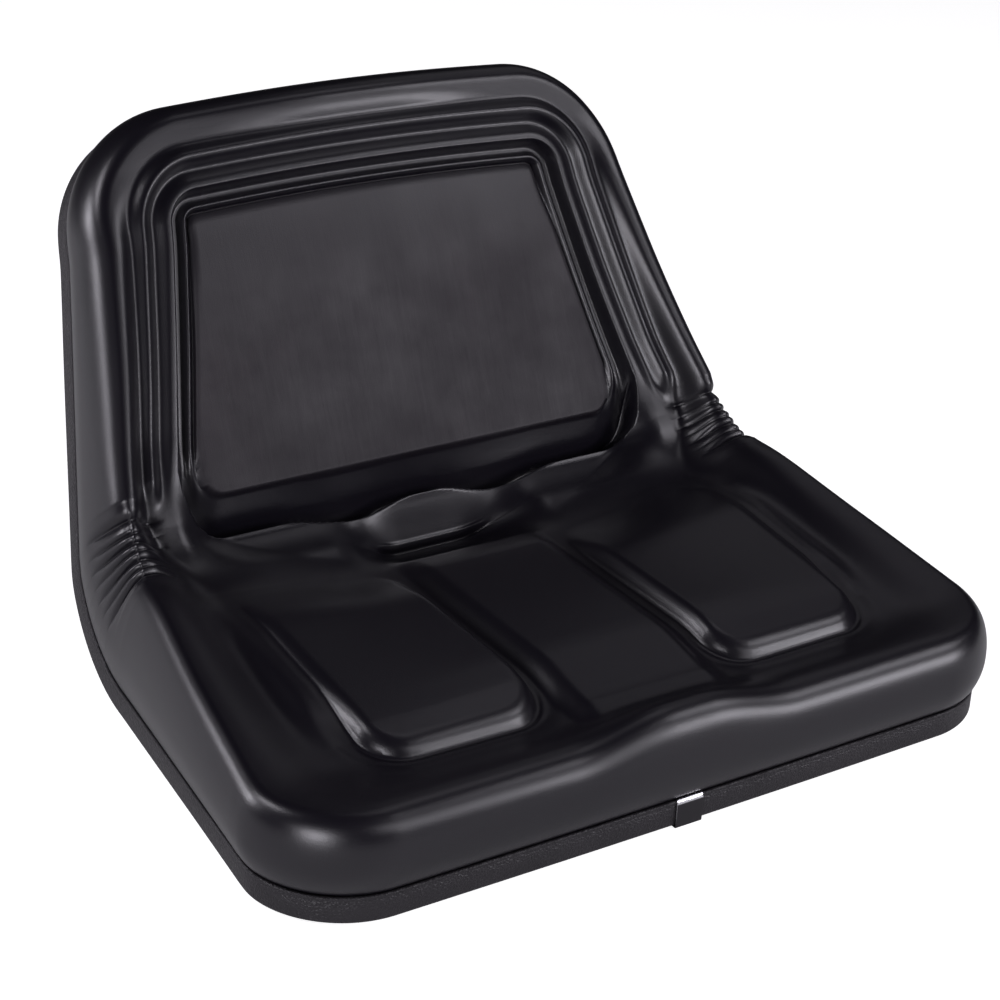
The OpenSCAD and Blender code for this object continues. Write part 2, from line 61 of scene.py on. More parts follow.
# %% Sizes of the rim and of the cushion
MM = 0.001
FRONT_HALF_W, REAR_HALF_W, BACK_HALF_W, TOP_HALF_W = 235, 216.2, 209.8, 178
SEAT_LEN, BEND_R, RECLINE, BACK_LEN = 239, 77, 24.6, 242
FRONT_CORNER_R, TOP_CORNER_R = 56, 64
FRONT_BOW, TOP_CROWN = 2, 7.5
BULGE, CREST_IN, ROUND_IN, WIDEST = 5, 8, 14, 0.42
ROLL_FRONT, ROLL_BEND, ROLL_TOP, CORNER_DIP = 45, 76, 48, 3.5
FLOOR_H, FACE_H = 47, 44
FOLD_H, FOLD_R, FOLD_REACH = 70, 40, 130
SEAT_ROLL_W, FRONT_ROLL_W, BACK_ROLL_W = 54, 42, 27
PAD_IN, PAD_OUT, PAD_FRONT, PAD_REAR = 57, 163, 50, 236
PAD_H, PAD_BEVEL, PAD_R = 9, 10, 24
RIDGE_HALF_W, RIDGE_H = 36, 6
PANEL_IN, PANEL_LOW, PANEL_R, LIP_LOW, LIP_AT = 60, 16, 18, 30, 16.5
CHANNEL_D, LIP_H = 6, 3.5
FOLDS, FOLD_PITCH, FOLD_D = 4, 22, 4.5
POCKET_HALF_W, POCKET_D = 56, 25
TRIM_H, TRIM_T, TRIM_LEG, SKIN_T, TUCK_H, GAP, SHEET_T = 15.8, 2.2, 8, 1.2, 7, 0.3, 1.5
CLIP_W, CLIP_T, JOINT_GAP = 17, 0.8, 1
NUT_AF, NUT_BORE = 14, 6.8

TURN = math.radians(90 - RECLINE)
BEND_END = SEAT_LEN + BEND_R * TURN
TOP_S = BEND_END + BACK_LEN
FOLD_Y = SEAT_LEN + BEND_R * math.tan(TURN / 2) - (FOLD_H + FOLD_R) * math.tan(TURN / 2)
FOLD_SHIFT = SEAT_LEN - FOLD_Y
FOLD_MID = SEAT_LEN + 0.68 * (BEND_END - SEAT_LEN)
POCKET_S = SEAT_LEN + 0.48 * (BEND_END - SEAT_LEN)
BASE_Z = TRIM_H + CLIP_T + GAP
TOP_Y = SEAT_LEN + BEND_R * math.sin(TURN) + (BACK_LEN + TOP_CROWN) * math.cos(TURN)
MID_Y = (TOP_Y + TRIM_H * math.sin(TURN) - BULGE) / 2
print("the rim is", round(TOP_S), "mm long from front to top")

# %% [markdown]
# ## Small curves
# Soft forms are built from a few curves that start and stop without a corner, because a
# glossy skin shows the slightest kink as a broken highlight.

# %% Small curves
def ease(a, b, t):
    """Smooth step: 0 up to a, 1 from b on, and 3u^2 - 2u^3 between them."""
    u = np.clip((t - a) / (b - a), 0, 1)
    return u * u * (3 - 2 * u)


def hump(t):
    """Half a cosine wave: 1 at 0, and 0 at -1 and 1 and beyond."""
    return np.where(np.abs(t) < 1, 0.5 + 0.5 * np.cos(np.pi * t), 0)


def mix(a, b, t):
    """The share t of the way from a to b."""
    return a + (b - a) * t


def table(s, pairs, blur=14):
    """Straight lines through pairs of (place, value), averaged over a span of twice blur."""
    places, values = np.array(pairs, float).T
    shifts = np.linspace(-blur, blur, 15)
    return sum(np.interp(s + d, places, values) for d in shifts) / len(shifts)


# %% [markdown]
# ## Where a point of the cushion is
# A point is given by x across, s along the rim and h above it. The rolls are high where the
# seat turns up, and their inner fold isn't concentric with the rim's bend. So there are two
# rails: the rim, and a tighter curve 70 mm above it. A point lies on the line between them.

# %% The two rails
def rim_rail(s):
    """The rim seen from the side: flat, then an arc of BEND_R, then straight up the back."""
    a = np.clip((s - SEAT_LEN) / BEND_R, 0, TURN)
    u = np.maximum(s - BEND_END, 0)
    y = np.minimum(s, SEAT_LEN) + BEND_R * np.sin(a) + u * math.cos(TURN)
    return y, BEND_R * (1 - np.cos(a)) + u * math.sin(TURN)


def fold_rail(s):
    """The same with an inner radius of FOLD_R, pushed forward over FOLD_REACH beside it."""
    a = np.clip((s - SEAT_LEN) / BEND_R, 0, TURN)
    u = s - BEND_END
    before = s - FOLD_SHIFT * ease(SEAT_LEN - FOLD_REACH, SEAT_LEN, s)
    y0 = np.where(s < SEAT_LEN, before, FOLD_Y)
    u1 = np.where(u > 0, u - FOLD_SHIFT * ease(0, FOLD_REACH, u), 0)
    y = y0 + FOLD_R * np.sin(a) + u1 * math.cos(TURN)
    return y, FOLD_H + FOLD_R * (1 - np.cos(a)) + u1 * math.sin(TURN)


def place(x, s, h):
    """Points in metres: rim rail + (fold rail - rim rail) * h / FOLD_H."""
    x, s, h = np.broadcast_arrays(x, s, h)
    (y0, z0), (y1, z1) = rim_rail(s), fold_rail(s)
    t = h / FOLD_H
    return np.stack([x, mix(y0, y1, t) - MID_Y, mix(z0, z1, t) + BASE_Z], -1) * MM


def half_w(s):
    """Half the rim's width at s, tapering only between the corners."""
    return table(s, [(FRONT_CORNER_R, FRONT_HALF_W), (SEAT_LEN, REAR_HALF_W),
                     (BEND_END, BACK_HALF_W), (TOP_S - TOP_CORNER_R, TOP_HALF_W)], 10)


# %% [markdown]
# ## Distances to outlines
# The nested ridges, the pads and the panel all have rounded outlines. A distance to a
# rounded outline turns each of them into a one-line height formula.

# %% Distances
def bow_at(x):
    """How far the front edge lies behind its middle, growing with the square of x."""
    return FRONT_BOW * (x / FRONT_HALF_W) ** 2


def crown_at(x):
    """How far the top edge stands above its corners, falling with the square of x."""
    return TOP_CROWN * (1 - (x / TOP_HALF_W) ** 2)


def edges(x, s):
    """Distances inward from the side, the front and the top edge of the rim."""
    return half_w(s) - np.abs(x), s - bow_at(x), TOP_S + crown_at(x) - s


def inner(a, b, r):
    """Distance inward from two edges that meet in a corner of radius r."""
    return np.where((a < r) & (b < r), r - np.hypot(r - a, r - b), np.minimum(a, b))


def outer(a, b, r):
    """Distance outward past two edges that meet in a corner of radius r."""
    return np.where((a > -r) & (b > -r), np.hypot(a + r, b + r) - r, np.maximum(a, b))


def rim_inset(x, s):
    """Distance inward from the rim, round its corners."""
    side, front, top = edges(x, s)
    return np.minimum(inner(side, front, FRONT_CORNER_R), inner(side, top, TOP_CORNER_R))


def panel_open(x, s):
    """Distance outward past the panel's edge at the sides and the top."""
    side, _, top = edges(x, s)
    return outer(PANEL_IN - side, PANEL_IN - top, TOP_CORNER_R - PANEL_IN)


def panel_past(x, s):
    """The same all round. It grows more slowly downward, where the lip is further away, and
    most slowly at the two shoulders of the hood over the drain pocket."""
    side, _, _ = edges(x, s)
    low = LIP_LOW + 10 * hump((np.abs(x) - 52) / 44)
    below = (BEND_END + PANEL_LOW - s) * LIP_AT / low
    return np.maximum(panel_open(x, s), outer(PANEL_IN - side, below, PANEL_R))


def pad_past(x, s):
    """Distance outward past the edge of a seat pad."""
    a = np.abs(np.abs(x) - (PAD_IN + PAD_OUT) / 2) - (PAD_OUT - PAD_IN) / 2
    return np.maximum(outer(a, PAD_FRONT - s, PAD_R), outer(a, s - PAD_REAR, PAD_R))


# %% [markdown]
# ## Heights
# The height above the rim starts from a roll along the border that falls to the floor of the
# seat or the face of the backrest. Pads, ridges, channel, pocket and folds are added to it.

# %% Rolls and floor
def crest(x, s):
    """Height of the rolls along the rim, a little lower at the top corners."""
    along = table(s, [
        (0, ROLL_FRONT), (0.21 * SEAT_LEN, ROLL_FRONT + 1),
        (0.49 * SEAT_LEN, mix(ROLL_FRONT, ROLL_BEND, 0.44)), (0.91 * SEAT_LEN, ROLL_BEND - 1),
        (SEAT_LEN, ROLL_BEND + 1), (FOLD_MID, ROLL_BEND + 1),
        (BEND_END + 0.19 * BACK_LEN, mix(ROLL_TOP, ROLL_BEND, 0.6)),
        (BEND_END + 0.46 * BACK_LEN, mix(ROLL_TOP, ROLL_BEND, 0.36)),
        (BEND_END + 0.83 * BACK_LEN, ROLL_TOP), (TOP_S + 20, ROLL_TOP - 1)])
    pommel = 9 * (1 - ease(10, 72, np.abs(x))) * (1 - ease(20, 60, s))
    return along + pommel - CORNER_DIP * ease(20, 110, np.abs(x)) * ease(TOP_S - 75, TOP_S - 25, s)


def front_share(x, s):
    """1 on the front roll between its corners, 0 beside the seat and behind the roll, and a
    smooth step between them."""
    side, front, _ = edges(x, s)
    return ease(0, 70, side) * (1 - ease(45, 90, front))


def round_share(e):
    """The front roll's section as a share of its height, from WIDEST at inset -BULGE up to 1
    at inset ROUND_IN: an ellipse with fuller shoulders, a^2.4 + b^2.4 = 1."""
    a = np.clip((ROUND_IN - e) / (ROUND_IN + BULGE), 0, 1)
    return WIDEST + (1 - WIDEST) * (1 - a ** 2.4) ** (1 / 2.4)


def floor_at(x, s):
    """Height between the rolls: lower along the middle than beside the rolls."""
    side = table(s, [
        (PAD_FRONT, FLOOR_H - 6), (0.44 * SEAT_LEN, FLOOR_H + 1), (0.93 * SEAT_LEN, FLOOR_H + 12),
        (BEND_END, FACE_H + 9), (BEND_END + 0.22 * BACK_LEN, FACE_H + 2), (TOP_S, FACE_H)], 9)
    middle = table(s, [
        (PAD_FRONT, FLOOR_H - 7), (0.36 * SEAT_LEN, FLOOR_H), (SEAT_LEN, FLOOR_H),
        (POCKET_S, FLOOR_H - 1),
        (BEND_END + PANEL_LOW - LIP_LOW, FACE_H - 6), (BEND_END + PANEL_LOW, FACE_H - 1.5),
        (TOP_S, FACE_H)], 5)
    start = mix(PAD_IN, PAD_OUT - 25, ease(SEAT_LEN, BEND_END, s))
    return mix(middle, side, ease(start, PAD_OUT + 5, np.abs(x)))


def roll_fall(x, s):
    """Share u of the way from the crest of the roll to its foot, and from it the share of
    the fall, 10u^3 - 15u^4 + 6u^5, which starts and ends without a bend in it."""
    width = mix(SEAT_ROLL_W, BACK_ROLL_W, ease(SEAT_LEN + 10, BEND_END + 15, s))
    side, front, top = edges(x, s)
    a = width - side
    foot = np.maximum(outer(a, FRONT_ROLL_W - front, 45),
                      outer(a, BACK_ROLL_W - top, TOP_CORNER_R - BACK_ROLL_W))
    g = np.maximum(rim_inset(x, s) - CREST_IN, 0)
    u = g / (g + np.maximum(foot, 0) + 0.001)
    return u ** 3 * (10 - 15 * u + 6 * u * u)


# %% Pads, pocket, backrest and folds
def seat_relief(x, s):
    """Two pads that fade out toward the rear, with a crease at their foot and a filled groove
    outside them, and the low ridge between them. A pad's bevel is 1 - u^2.8, where u goes
    from 0 on its flat top to 1 at its outline."""
    fade = 1 - ease(PAD_REAR - 60, PAD_REAR, s)
    past = pad_past(x, s)
    u = np.clip(1 + past / PAD_BEVEL, 0, 1)
    pad = 1 - u ** 2.8
    front = 1 - ease(PAD_FRONT - 5, PAD_FRONT + 30, s)
    crease = 1.6 * hump((past - 1.5) / 4) * mix(0.3, 1, front) + 1.2 * hump((past - 6) / 9)
    ridge = 1 - ease(RIDGE_HALF_W, RIDGE_HALF_W + 16, np.abs(x))
    fill = 7 * hump((np.abs(x) - PAD_OUT - 5) / 24) * ease(70, 115, s) * (1 - pad)
    lifted = fade * (pad * mix(0.6, 1, ease(48, 80, s)) * PAD_H - crease + fill)
    return lifted + RIDGE_H * ridge * ease(20, 45, s) * (1 - ease(215, 250, s))


def drain_pocket(x, s):
    """A fall to a crease at POCKET_S: gentle from the seat, and nearly straight down the face
    of the hood, (1 - u)^1.3. A narrow slot lies in the crease, with a thin bead above."""
    hood_len, seat_len = 33, 46
    b = s - POCKET_S
    face = (1 - np.clip(b / hood_len, 0, 1)) ** 1.3
    seat = 1 - ease(0, seat_len, -b)
    sides = 1 - ease(0.35 * POCKET_HALF_W, 1.35 * POCKET_HALF_W, np.abs(x))
    ends = 1 - ease(33, 39, np.abs(x))
    slot = 3.0 * hump(b / 2.2) - 1.2 * hump((b - 3.4) / 2.2)
    return -POCKET_D * sides * np.where(b > 0, face, seat) - slot * ends


def back_relief(x, s):
    """Welt, lip, channel and panel, as heights over the distance past the panel's edge. The
    welt has a deep groove inside it. The lip has a crisp inner edge. Below the panel nothing
    stands up: the seat's surface just ends above a deep gap. The panel hangs back a little
    toward its top."""
    around, past = panel_open(x, s), panel_past(x, s)
    welt = 6 * hump((around - 33) / 8.5) - 0.8 * hump((around - 24) / 6)
    above = s - BEND_END
    low = 1 - ease(PANEL_LOW - 6, PANEL_LOW + 26, above)
    body = LIP_H * ease(27, LIP_AT - 1, past) * ease(10, 55, above) * ease(10, 15, past)
    ditch = 3 * ease(0, 1, past) - 1.8 * ease(1.4, 4, past) + 4.8 * ease(4.2, 8, past)
    gap = 4 * ease(0, 1.4, past) + 2.2 * CHANNEL_D * np.clip((past - 1) / 13.4, 0, 1)
    channel = mix(ditch * (1 - ease(10, 15, past)), gap * (1 - ease(14.4, 16, past)), low)
    _, _, top = edges(x, s)
    hang = 4.2 * (1 - ease(PANEL_IN - 4, PANEL_IN + 44, top)) * (1 - ease(0, 3, past))
    return ease(8, 30, above) * welt + body - channel - hang - 1.5 * (1 - ease(0, 8, past))


def valley(k):
    """1 at whole numbers and 0 half-way between them, sharp at the bottom: 1 - |sin|^0.6."""
    return 1 - np.abs(np.sin(np.pi * k)) ** 0.6


def fold_wave(s, flank):
    """Round ridges with sharp valleys at FOLD_PITCH, 1 in a valley. A crease halves each
    ridge, slight where flank is 0 and nearly as deep as a valley on the roll's flank."""
    k = (s - FOLD_MID) / FOLD_PITCH + 0.5 * (FOLDS + 1) % 1
    ends = 1 - ease(FOLDS / 2 - 0.5, FOLDS / 2 + 0.1, np.abs(s - FOLD_MID) / FOLD_PITCH)
    return (valley(k) + mix(0.4, 0.8, flank) * valley(k + 0.5)) * ends


def lift(x, s):
    """Height of the cushion above the rim."""
    inset = rim_inset(x, s)
    folds = -FOLD_D * fold_wave(s, 1 - ease(6, 20, inset)) * (1 - ease(18, 36, inset))
    rounded_off = front_share(x, s) * (1 - round_share(inset))
    ground = mix(crest(x, s), floor_at(x, s), roll_fall(x, s)) - rounded_off * crest(x, s)
    return ground + seat_relief(x, s) + drain_pocket(x, s) + back_relief(x, s) + folds


# %% [markdown]
# ## The grid
# One grid covers the whole top. Its lines run round the rim's corners and the corners of the
# pads, so that no ridge cuts across a face. A short list of lines is given where the form
# changes, and the finer lines are spread between them.

# %% Spreading lines
def between(keys, steps):
    """The keys with steps - 1 more values spread evenly between each pair."""
    keys = np.array(keys, float)
    return np.interp(np.arange((len(keys) - 1) * steps + 1) / steps, np.arange(len(keys)), keys)


def shares(a, b, part):
    """Places at these shares of the way from a to b."""
    return [mix(a, b, p) for p in part]


# %% The lines of the grid
back_lines = [CREST_IN, 14, 20, 23.5, 27, 31, 35, 39.5, 43, 44.5, 46, 48, 50.5, 54, 57, 59, 60]
panel_shares = [0.88, 0.74, 0.58, 0.42, 0.27, 0.13, 0]
roll_shares = [0, 0.1, 0.22, 0.35, 0.5, 0.66, 0.82, 0.93]
pad_w = PAD_OUT - PAD_IN
pad_lines = [0, PAD_BEVEL / 2, PAD_BEVEL, 2 * PAD_BEVEL, pad_w / 2, pad_w - 2 * PAD_BEVEL,
             pad_w - PAD_BEVEL, pad_w - PAD_BEVEL / 2, pad_w]
seat_lines = [PAD_OUT - d for d in pad_lines]
seat_lines = seat_lines + shares(0, PAD_IN, (0.92, 0.84, 0.74, 0.6, 0.42, 0.2, 0))

fold_rows = FOLD_MID + np.arange(-2 * FOLDS, 2 * FOLDS + 1) * FOLD_PITCH / 4
pad_start, pad_end = PAD_FRONT + 2.2 * PAD_BEVEL, PAD_REAR - 2 * PAD_BEVEL
row_parts = [
    between(shares(CREST_IN, FRONT_ROLL_W, (0, 0.2, 0.45, 0.7, 1)), 5),
    between([FRONT_ROLL_W, PAD_FRONT - 3, PAD_FRONT, PAD_FRONT + PAD_BEVEL], 7)[1:],
    between([PAD_FRONT + PAD_BEVEL, pad_start, pad_end, PAD_REAR, fold_rows[0]], 14)[1:],
    between(fold_rows, 7)[1:],
    between([fold_rows[-1], BEND_END + 30, TOP_S - PANEL_IN], 26)[1:],
    between([TOP_S - e for e in back_lines[::-1]], 4)[1:],
]
row_s = np.concatenate(row_parts)
FINE = 5  # columns between two neighbouring lines
half_cols = (len(back_lines) + len(panel_shares) - 1) * FINE + 1
print("grid of", 2 * half_cols - 1, "by", len(row_s), "points")


# %% Bending the grid's lines round the corners
def col_x(s):
    """Distance from the middle of each column, outermost first, at each row."""
    w = half_w(s)[:, None]
    borders, rolls = len(back_lines), len(roll_shares)
    key = np.arange(borders + len(panel_shares))
    fine = np.arange(half_cols) / FINE
    fixed = np.interp(fine, key, back_lines + [PANEL_IN] * len(panel_shares))
    share = np.interp(fine, key, [1] * borders + panel_shares)
    on_back = np.where(fine <= borders - 1, w - fixed, (w - PANEL_IN) * share)
    roll_share = np.interp(fine, key, roll_shares + [1] * (len(key) - rolls))
    outer_part = mix(w - CREST_IN, PAD_OUT, roll_share)
    inner_part = np.interp(fine, key, [PAD_OUT] * rolls + seat_lines)
    on_seat = np.where(fine <= rolls, outer_part, inner_part)
    return mix(on_seat, on_back, ease(SEAT_LEN + 5, BEND_END, s)[:, None])


def rounded(a, b, r, e):
    """Moves insets a, b from a square corner to a round one, on to the line at inset e: the
    angle round the corner is 45 degrees times the share of the way to the diagonal."""
    far, near = np.maximum(a, b), np.minimum(a, b)
    round_part = far < r
    t = np.where(round_part, math.pi / 4 * (r - far) / np.maximum(r - near, 1e-6), 0)
    p = np.where(round_part, r - (r - e) * np.cos(t), np.minimum(near, e))
    q = np.where(round_part, r - (r - e) * np.sin(t), far)
    return np.where(a <= b, p, q), np.where(a <= b, q, p)


def bend_corners(x, s, at_front, e=None):
    """Rounds the grid at the rim's corners. Given e, border points move to that inset."""
    b = np.where(at_front, s, TOP_S - s)
    r = np.where(at_front, FRONT_CORNER_R, TOP_CORNER_R)
    a = half_w(s) - x
    p, q = rounded(a, b, r, np.minimum(a, b) if e is None else e)
    q = np.where(at_front, q, TOP_S - q)
    x1 = x + a - p + (half_w(q) - half_w(s)) * x / half_w(s)
    bow = bow_at(x1) * (1 - ease(0, 90, q))
    crown = crown_at(x1) * ease(TOP_S - 140, TOP_S - 60, q)
    return x1, q + bow + crown


def soften(a, b, r, reach):
    """Rounds the grid inside a feature with corner radius r. Past the feature's edge that
    fades out over reach."""
    near = np.minimum(a, b)
    p, q = rounded(a, b, r, near)
    k = 1 - ease(reach / 3, reach, -near)
    return mix(a, p, k), mix(b, q, k)


def bend_to_pads(x, s):
    """Rounds the grid at the corners of the pads."""
    c, h = (PAD_IN + PAD_OUT) / 2, (PAD_OUT - PAD_IN) / 2
    front = s < (PAD_FRONT + PAD_REAR) / 2
    b = np.where(front, s - PAD_FRONT, PAD_REAR - s)
    p, q = soften(h - np.abs(x - c), b, PAD_R, 14)
    x1 = c + np.where(x > c, 1, -1) * (h - p)
    return x1, np.where(front, PAD_FRONT + q, PAD_REAR - q)


def bend_to_panel(x, s):
    """Rounds the grid at the panel's lower corners."""
    b = s - BEND_END - PANEL_LOW
    w = half_w(s) - PANEL_IN
    p, q = soften(w - x, b, PANEL_R, 34)
    low = b < 60
    return np.where(low, w - p, x), np.where(low, BEND_END + PANEL_LOW + q, s)


# %% The right half of the grid, its mirror image, and the heights
square_x = col_x(row_s)
square_s = np.repeat(row_s[:, None], half_cols, 1)
at_front = square_s < SEAT_LEN / 2
x1, s1 = bend_corners(square_x, square_s, at_front)
px, ps = bend_to_pads(x1, s1)
bx, bs = bend_to_panel(x1, s1)
seat_part = s1 < SEAT_LEN + 10
half_x, half_s = np.where(seat_part, px, bx), np.where(seat_part, ps, bs)
grid_x = np.concatenate([-half_x, half_x[:, -2::-1]], 1)
grid_s = np.concatenate([half_s, half_s[:, -2::-1]], 1)
grid_h = lift(grid_x, grid_s)
print("heights from", round(float(grid_h.min()), 1), "to", round(float(grid_h.max()), 1), "mm")

# %% [markdown]
# ## The border
# From the crest of the roll the skin runs down the side, which swells out past the trim, and
# is tucked in behind it. The border is one closed loop, and each ring of the side is that
# loop at its own inset and share of the roll's height. On the front roll, which has a flatter
# face and a tighter shoulder, the share comes from the front roll's own section.

# %% The loop round the border
def loop_index(rows, cols):
    """Row and column of each point of the border, once round, starting at the front middle."""
    mid = (cols - 1) // 2
    front = [(0, i) for i in range(mid, cols)]
    right = [(j, cols - 1) for j in range(1, rows)]
    top = [(rows - 1, i) for i in range(cols - 2, -1, -1)]
    left = [(j, 0) for j in range(rows - 2, -1, -1)]
    rest = [(0, i) for i in range(1, mid)]
    return np.array(front + right + top + left + rest)


rows, cols = grid_x.shape
loop = loop_index(rows, cols)
loop_side = np.where(loop[:, 1] >= half_cols - 1, 1.0, -1.0)
loop_col = np.minimum(loop[:, 1], cols - 1 - loop[:, 1])
loop_x0 = square_x[loop[:, 0], loop_col]
loop_s0 = row_s[loop[:, 0]]
loop_front = loop_s0 < SEAT_LEN / 2
loop_h = grid_h[loop[:, 0], loop[:, 1]]
on_front = front_share(grid_x[loop[:, 0], loop[:, 1]], grid_s[loop[:, 0], loop[:, 1]])
loop_h = loop_h / (1 - on_front * (1 - round_share(CREST_IN)))


def ring(e):
    """x and s of the border loop at inset e from the rim."""
    x, s = bend_corners(loop_x0, loop_s0, loop_front, e)
    return loop_side * x, s


def side_line(low_steps, high_steps):
    """Inset, share of the crest's height and added height, from the rim up to the crest. The
    lower part is a parabola that swells out to -BULGE. The upper part is a quarter of an
    ellipse, a little fuller at its shoulder: cosine and sine are raised to 0.94."""
    t = np.linspace(-1, 0, low_steps)[:-1]
    a = np.linspace(0, math.pi / 2, high_steps) ** 1.3 / (math.pi / 2) ** 0.3
    overlap = 5 * np.maximum(-t - 0.8, 0)
    low = np.stack([(BULGE + 0.4) * t * t - BULGE, WIDEST + (WIDEST - 0.01) * t, overlap])
    high = np.stack([CREST_IN - (CREST_IN + BULGE) * np.cos(a).clip(0) ** 0.94,
                     WIDEST + (1 - WIDEST) * np.sin(a) ** 0.94, 0 * a])
    return np.concatenate([low, high], 1).T


side_profile = side_line(10, 22)
FLANGE_IN = TRIM_T + 2 * GAP + SKIN_T
tuck_profile = [(FLANGE_IN - GAP, 0, GAP - 1), (FLANGE_IN - GAP, 0, -TUCK_H),
                (TRIM_T + GAP, 0, -TUCK_H), (TRIM_T + GAP, 0, GAP)]
rings = []
for e, share, add in [*tuck_profile, *side_profile[:-1]]:
    pinch = FOLD_D * fold_wave(loop_s0, 1.0) * ease(WIDEST, 0.85, share)
    x, s = ring(e + pinch)
    rounder = round_share(e) if share > WIDEST else share
    rings.append(place(x, s, mix(share, rounder, on_front) * loop_h + add))
wall = np.array(rings)
print("the side has", len(rings), "rings of", len(loop), "points")


# %% [markdown]
# ## Filling a mesh
# Whole arrays go into a mesh at once. A grid's faces are the four corners of each cell, and
# a closed ring wraps round to its first point.

# %% Meshes from arrays
def grid_faces(rows, cols, wrap=False, start=0):
    """Four corner numbers of each cell of a grid, counted row by row from start."""
    j = np.arange(rows - 1)[:, None] * cols
    i = np.arange(cols if wrap else cols - 1)[None]
    k = (i + 1) % cols
    return (np.stack([j + i, j + k, j + cols + k, j + cols + i], -1) + start).reshape(-1, 4)


def joined(a, b):
    """Faces between two closed rings, each given by its corner numbers."""
    return np.stack([a, np.roll(a, -1), np.roll(b, -1), b], -1)


def bar_faces(stations, sides):
    """Faces of a closed section carried along a line, with one face over each end."""
    last = (stations - 1) * sides
    ends = [list(range(sides))[::-1], list(range(last, last + sides))]
    return [*grid_faces(stations, sides, True), *ends]


def make_piece(name, points, faces, smooth=True):
    """A mesh object of these points and faces, each face a list of corner numbers."""
    mesh = bpy.data.meshes.new(name)
    mesh.vertices.add(len(points))
    mesh.vertices.foreach_set("co", np.ascontiguousarray(points, dtype=np.float32).ravel())
    counts = np.array([len(f) for f in faces])
    mesh.loops.add(int(counts.sum()))
    mesh.loops.foreach_set("vertex_index", np.concatenate([np.ravel(f) for f in faces]))
    mesh.polygons.add(len(faces))
    mesh.polygons.foreach_set("loop_start", np.concatenate([[0], np.cumsum(counts)[:-1]]))
    mesh.polygons.foreach_set("use_smooth", np.full(len(faces), smooth))
    mesh.update(calc_edges=True)
    mesh.validate()
    piece = bpy.data.objects.new(name, mesh)
    bpy.context.scene.collection.objects.link(piece)
    return piece


def attribute(piece, name, values):
    """Stores one number a point, which a material can read by name."""
    layer = piece.data.attributes.new(name, "FLOAT", "POINT")
    layer.data.foreach_set("value", np.ascontiguousarray(values, dtype=np.float32).ravel())


# %% The cushion
top_points = place(grid_x, grid_s, grid_h).reshape(-1, 3)
wall_points = wall.reshape(-1, 3)
around = len(loop)
first = len(top_points)
last = first + (len(rings) - 1) * around

# the last ring meets the grid's border, and the underside runs straight across
seam = joined(last + np.arange(around), loop[:, 0] * cols + loop[:, 1])
right = np.arange(1, around // 2 - 1)
left = around - right
under = first + np.stack([left, left - 1, right + 1, right], -1)

side_faces = grid_faces(len(rings), around, True, first)
cushion_faces = [*grid_faces(rows, cols), *side_faces, *seam, *under]
cushion = make_piece("moulded_cushion", np.vstack([top_points, wall_points]), cushion_faces)
print("cushion:", len(cushion.data.polygons), "faces")

# %% Where the skin has the panel's grain and its painted sheen, less of both toward the panel's top, a painted shade
below_top = edges(grid_x, grid_s)[2] - PANEL_IN
# the share falls to 0.4 at the panel's top, which darkens its painted sheen there: painted shade
inside_panel = (1 - ease(-1, 2, panel_past(grid_x, grid_s))) * mix(0.4, 1, ease(0, 70, below_top))
attribute(cushion, "panel", np.concatenate([inside_panel.ravel(), np.zeros(len(wall_points))]))
print("the panel holds", int((inside_panel > 0.3).sum()), "points")

# %% [markdown]
# ## Shader maths
# A material is a small sum over the surface. The class below lets the sum be written as
# Python writes it: adding two sockets adds the Math node that does it.

# %% A socket that takes part in sums
class Value:
    """A number over the surface. a + b, a - b, 1 - a and a * b add Math nodes."""

    def __init__(self, finish, socket):
        self.finish, self.socket = finish, socket

    def sum(self, kind, first, second):
        """A Math node of this kind on two numbers or values."""
        return self.finish.node("ShaderNodeMath", {"operation": kind}, {0: first, 1: second})

    def __add__(self, other):
        return self.sum("ADD", self, other)

    def __sub__(self, other):
        return self.sum("SUBTRACT", self, other)

    def __rsub__(self, other):
        return self.sum("SUBTRACT", other, self)

    def __mul__(self, other):
        return self.sum("MULTIPLY", self, other)

    def at_most(self, other):
        """The lesser of the two."""
        return self.sum("MINIMUM", self, other)

    def at_least(self, other):
        """The greater of the two."""
        return self.sum("MAXIMUM", self, other)

    __radd__ = __add__
    __rmul__ = __mul__


